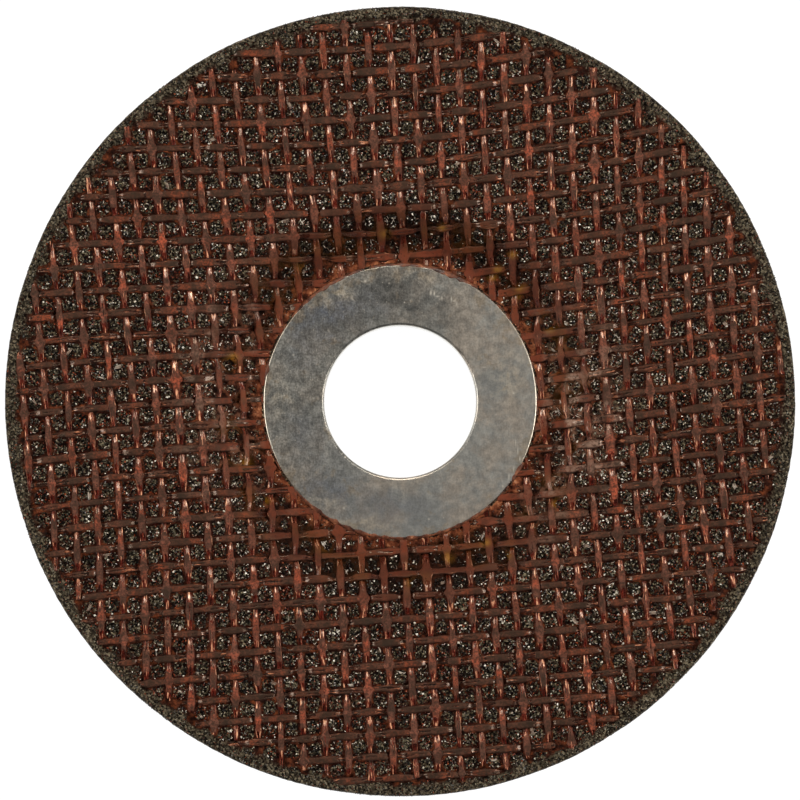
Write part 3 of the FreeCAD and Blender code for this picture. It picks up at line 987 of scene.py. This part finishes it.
def ring_material():
    """Thin tinned sheet: dull grey, finely brushed one way, with dark blue grey blooms,
    beige resin film, a few bright scratches, painted shade at upper left, painted edge highlight."""
    mat, nt, b = material("tinned_sheet")
    N = Net(nt)
    p = N.coords()
    x, y, z = N.separate(p)
    warp = N.math("MULTIPLY", N.math("SUBTRACT", N.noise(p, 330.0, 3.0, 0.6), 0.5), 0.0075)
    warp2 = N.math("MULTIPLY", N.math("SUBTRACT", N.noise(p, 410.0, 3.0, 0.6), 0.5), 0.0075)
    wx, wy = N.math("ADD", x, warp), N.math("ADD", y, warp2)

    def spot(u, v, cx, cy, rx, ry):
        dx = N.math("MULTIPLY", N.math("SUBTRACT", u, cx * MM), 1000.0 / rx)
        dy = N.math("MULTIPLY", N.math("SUBTRACT", v, cy * MM), 1000.0 / ry)
        d = N.math("ADD", N.math("MULTIPLY", dx, dx), N.math("MULTIPLY", dy, dy))
        return N.math("EXPONENT", N.math("MULTIPLY", d, -1.0))

    def spots(u, v, rows):
        total = None
        for cx, cy, rx, ry, k in rows:
            one = N.math("MULTIPLY", spot(u, v, cx, cy, rx, ry), k)
            total = one if total is None else N.math("ADD", total, one)
        return total

    brushed = N.noise(N.combine(N.math("MULTIPLY", x, 5200.0), N.math("MULTIPLY", y, 1100.0), N.math("MULTIPLY", z, 600.0)), 1.0, 3.0, 0.7)
    cloud = N.noise(p, 160.0, 5.0, 0.62)
    mott = N.noise(p, 780.0, 5.0, 0.74)
    fine = N.noise(p, 3300.0, 2.0, 0.6)
    out = N.math("SQRT", N.math("ADD", N.math("MULTIPLY", x, x), N.math("MULTIPLY", y, y)))
    base = N.mix(N.span(cloud, 0.40, 0.60, 0.0, 1.0), lin(182, 173, 161), lin(168, 168, 163))
    # painted shade: the sheet is darker towards the upper left
    shaded = N.span(N.math("SUBTRACT", N.math("MULTIPLY", y, 0.7), x), -0.014, 0.020, 0.0, 1.0)
    base = N.mix(N.math("MULTIPLY", shaded, 0.62), base, lin(134, 133, 127))
    blue = spots(wx, wy, [(-11.2, 12.6, 4.2, 2.8, 1.15), (-14.2, -4.6, 2.6, 3.4, 0.65), (-10.4, -12.8, 4.6, 3.4, 0.9),
                          (-3.4, -15.6, 4.0, 2.2, 0.6), (13.2, 1.4, 1.3, 2.0, 0.40), (-5.0, 14.6, 4.0, 2.6, 0.6),
                          (-14.4, 8.0, 2.4, 3.2, 0.6), (2.6, -15.6, 4.4, 2.6, 0.55)])
    base = N.mix(N.math("MULTIPLY", N.math("MULTIPLY", blue, N.span(mott, 0.34, 0.62, 0.45, 1.0)), 0.75, clamp=True), base, lin(104, 110, 121))
    beige = spots(wx, wy, [(-8.8, 16.2, 2.2, 0.9, 0.9), (-12.6, 15.0, 1.2, 0.8, 0.6), (-12.4, -15.2, 4.4, 1.0, 0.8), (-6.6, -18.6, 4.0, 0.8, 0.8),
                           (2.6, 18.6, 3.4, 0.7, 0.6), (-17.2, 0.4, 1.5, 2.6, 0.75), (15.8, 3.4, 2.4, 3.4, 0.60), (0.6, -12.6, 2.2, 1.0, 0.30)])
    beige = N.math("MULTIPLY", beige, N.span(mott, 0.42, 0.58, 0.1, 1.0))
    base = N.mix(N.math("MULTIPLY", beige, 0.6, clamp=True), base, lin(196, 184, 162))
    dark = spots(wx, wy, [(3.4, 13.6, 3.4, 1.2, 0.8), (6.8, 11.6, 2.2, 1.2, 0.7), (-6.6, 10.6, 3.0, 1.6, 0.6), (-13.0, 0.4, 1.6, 3.0, 0.4),
                          (-1.4, 16.4, 4.6, 2.2, 1.0)])
    base = N.mix(N.math("MULTIPLY", dark, 0.68, clamp=True), base, lin(84, 85, 84))
    stain = N.span(N.math("ADD", N.noise(p, 420.0, 3.0, 0.6), N.math("MULTIPLY", N.span(out, 0.0176, 0.0201, 0.0, 1.0, kind="LINEAR"), 0.16)), 0.60, 0.72, 0.0, 0.40)
    base = N.mix(stain, base, lin(162, 144, 118))
    # blotched at the upper left, nearly even at the lower right
    even = N.math("SUBTRACT", 1.0, shaded)
    for value, lo, hi, a, c in ((brushed, 0.32, 0.68, 0.82, 1.15), (mott, 0.34, 0.66, 0.78, 1.20), (fine, 0.32, 0.68, 0.74, 1.22)):
        m = N.span(value, lo, hi, a, c)
        m = N.math("SUBTRACT", m, N.math("MULTIPLY", N.math("MULTIPLY", N.math("SUBTRACT", m, 1.0), even), 0.65))
        base = N.mix(1.0, base, N.combine(m, m, m), "MULTIPLY")
    flecks = N.span(N.noise(N.combine(N.math("MULTIPLY", x, 2400.0), N.math("MULTIPLY", y, 1500.0), 0.7), 1.0, 3.0, 0.7), 0.62, 0.72, 0.0, 1.0)
    flecks = N.math("MULTIPLY", flecks, N.math("ADD", N.math("MULTIPLY", shaded, 0.75), 0.08))
    base = N.mix(flecks, base, lin(206, 200, 186))
    marks = spots(x, y, [(4.5, 15.9, 0.10, 0.34, 1.0), (5.0, 15.8, 0.10, 0.30, 1.0), (5.5, 15.4, 0.26, 0.09, 0.9), (6.1, 15.2, 0.10, 0.24, 0.8),
                         (7.5, 15.0, 0.10, 0.36, 1.0), (7.9, 14.7, 0.22, 0.10, 0.9), (8.3, 14.3, 0.09, 0.26, 0.6), (-5.1, 17.6, 0.20, 0.20, 1.0),
                         (-1.6, 17.3, 0.13, 0.13, 0.6), (17.2, -7.2, 0.09, 0.42, 0.8), (17.5, -8.4, 0.10, 0.36, 0.9), (16.6, -9.9, 0.11, 0.40, 0.8),
                         (15.9, -11.0, 0.12, 0.34, 0.8), (16.9, -6.0, 0.08, 0.50, 0.6), (15.0, -12.4, 0.14, 0.20, 0.7), (-15.6, 6.8, 0.14, 0.14, 0.6),
                         (-9.6, 6.6, 0.14, 0.14, 0.6), (12.3, 5.0, 0.30, 0.10, 0.6), (-16.9, 0.9, 0.12, 0.12, 0.7), (-8.2, -15.6, 0.14, 0.14, 0.8),
                         (4.2, -17.2, 0.13, 0.13, 0.7), (16.6, 1.2, 0.14, 0.14, 0.7)])
    dots = N.span(N.voronoi(p, 520.0), 0.035, 0.075, 0.8, 0.0)
    dots = N.math("MULTIPLY", dots, N.span(N.noise(p, 240.0, 2.0, 0.5), 0.50, 0.60))
    base = N.mix(N.math("MAXIMUM", marks, dots, clamp=True), base, lin(232, 226, 212))
    # painted highlight on the rolled outer edge, at the left and right, not low down
    painted_edge_glint = N.math("MULTIPLY", N.span(N.math("ABSOLUTE", x), 0.0125, 0.0160), N.span(y, -0.0110, -0.0040))
    base = N.mix(N.math("MULTIPLY", painted_edge_glint, N.span(out, 0.01979, 0.01987, 0.0, 0.95)), base, lin(246, 238, 220))
    # the collar was burnished by the punch
    collar = N.span(z, 0.00565, 0.00608, 1.0, 0.0)
    base = N.mix(N.math("MULTIPLY", collar, 0.8), base, lin(238, 235, 228))
    N.put(b.inputs["Base Color"], base)
    b.inputs["Metallic"].default_value = 1.0
    rough = N.span(mott, 0.3, 0.7, 0.33, 0.45)
    N.put(b.inputs["Roughness"], N.math("SUBTRACT", rough, N.math("MULTIPLY", collar, 0.24)))
    N.put(b.inputs["Normal"], N.bump(brushed, 0.25, 0.00002))
    return mat


def resin_material():
    mat, nt, b = material("run_out_resin")
    N = Net(nt)
    p = N.coords()
    n = N.noise(p, 800.0, 3.0, 0.6)
    # run out resin; its palest patches are painted highlights
    col = N.ramp(n, [(0.32, lin(40, 16, 8)), (0.5, lin(98, 54, 35)), (0.62, lin(132, 78, 50)), (0.74, lin(196, 134, 98))])
    N.put(b.inputs["Base Color"], col)
    N.put(b.inputs["Roughness"], N.span(n, 0.3, 0.7, 0.35, 0.6))
    N.put(b.inputs["Normal"], N.bump(n, 0.4, 0.0002))
    return mat


def filament_material():
    mat, nt, b = material("bare_glass_filament")
    N = Net(nt)
    n = N.noise(N.coords(), 700.0, 2.0, 0.5)
    col = N.ramp(n, [(0.3, lin(118, 92, 76)), (0.5, lin(176, 158, 142)), (0.7, lin(234, 228, 216))])
    N.put(b.inputs["Base Color"], col)
    b.inputs["Roughness"].default_value = 0.3
    return mat


# ------------------------------------------------------------------ build the pieces
body = abrasive_body()
body.data.materials.append(grain_bed_material())
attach(body, "root")
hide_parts("abrasive_body")

splinters = splinter_material()
for name, count, low, high, seed, rim in (("grain_fine", 32300, 0.08, 0.155, SEED + 2, 3500),
                                          ("grain_coarse", 30500, 0.125, 0.22, SEED + 3, 3500)):
    g = grains(name, count, low, high, seed, rim)
    g.data.materials.append(splinters)
    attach(g, "root")
    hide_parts("abrasive_body")

for name, kind in (("mesh_yarns_up", "up"), ("mesh_yarns_across", "across")):
    yarn = yarns(name, kind)
    yarn.data.materials.append(yarn_material(kind))
    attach(yarn, "root")
    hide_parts("front_glass_mesh")

lip = resin_lip()
lip.data.materials.append(resin_material())
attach(lip, "root")
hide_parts("front_glass_mesh")

stray = filaments(110, 2000)
stray.data.materials.append(filament_material())
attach(stray, "root")
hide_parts("front_glass_mesh")

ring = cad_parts["hub_ring"]
tin = ring_material()
if ring.material_slots:
    for s in ring.material_slots:
        s.material = tin
else:
    ring.data.materials.append(tin)

# ------------------------------------------------------------------ floor, light and camera
floor = bpy.data.objects.new("floor", bpy.data.meshes.new("floor"))
floor.data.from_pydata([(-1.5, -1.5, 0), (1.5, -1.5, 0), (1.5, 1.5, 0), (-1.5, 1.5, 0)], [], [(0, 1, 2, 3)])
bpy.context.scene.collection.objects.link(floor)
fmat, fnt, fb = material("white_sweep")
fb.inputs["Base Color"].default_value = (0.12, 0.12, 0.12, 1)
fb.inputs["Roughness"].default_value = 1.0
fb.inputs["Specular IOR Level"].default_value = 0.0
fb.inputs["Emission Color"].default_value = (1, 1, 1, 1)
fb.inputs["Emission Strength"].default_value = 0.975
floor.data.materials.append(fmat)


def area(name, energy, size, place_, target, colour=(1, 1, 1), size_y=None):
    light = bpy.data.lights.new(name, "AREA")
    light.energy = energy
    light.color = colour
    light.size = size
    if size_y:
        light.shape = "RECTANGLE"
        light.size_y = size_y
    ob = bpy.data.objects.new(name, light)
    ob.location = place_
    ob.rotation_euler = (Vector(target) - Vector(place_)).to_track_quat("-Z", "Y").to_euler()
    bpy.context.scene.collection.objects.link(ob)
    return ob


area("lamp_top", 4.1, 0.34, (0.0, 0.58, 0.75), (0, 0, 0.01), (1.0, 0.91, 0.80), size_y=0.26)
area("strip_right", 4.6, 0.50, (0.76, 0.0, 0.50), (0, 0, 0.01), (1.0, 0.955, 0.90), size_y=0.22)
area("strip_left", 3.9, 0.50, (-0.76, 0.0, 0.50), (0, 0, 0.01), (1.0, 0.955, 0.90), size_y=0.22)

# the room: a dim panel overhead, dark above the strips, pale walls low down
world = bpy.data.worlds.new("studio")
bpy.context.scene.world = world
world.use_nodes = True
wt = world.node_tree
bg = wt.nodes["Background"]
W = Net(wt)
wco = wt.nodes.new("ShaderNodeTexCoord")
up = W.separate(wco.outputs["Generated"])[2]
W.put(bg.inputs[0], W.ramp(up, [(0.0, grey(1.0)), (0.10, grey(0.95)), (0.18, grey(0.40)), (0.36, grey(0.08)), (0.87, grey(0.08)), (0.95, grey(0.31)), (1.0, grey(0.33))]))
bg.inputs[1].default_value = 1.0

cam_data = bpy.data.cameras.new("camera")
cam = bpy.data.objects.new("camera", cam_data)
bpy.context.scene.collection.objects.link(cam)
DIST = 0.700
target = Vector((-0.000019, 0.000113, FACE_Z * MM))
cam.location = target + Vector((0.0, -0.016, DIST))
cam.rotation_euler = (target - cam.location).to_track_quat("-Z", "Y").to_euler()
cam_data.sensor_width = 36.0
real = (target - cam.location).length
cam_data.lens = 36.0 * real / (800.0 / 6.883 * MM)
cam_data.clip_start, cam_data.clip_end = 0.01, 10.0
bpy.context.scene.camera = cam

bpy.context.scene.view_settings.view_transform = "Standard"
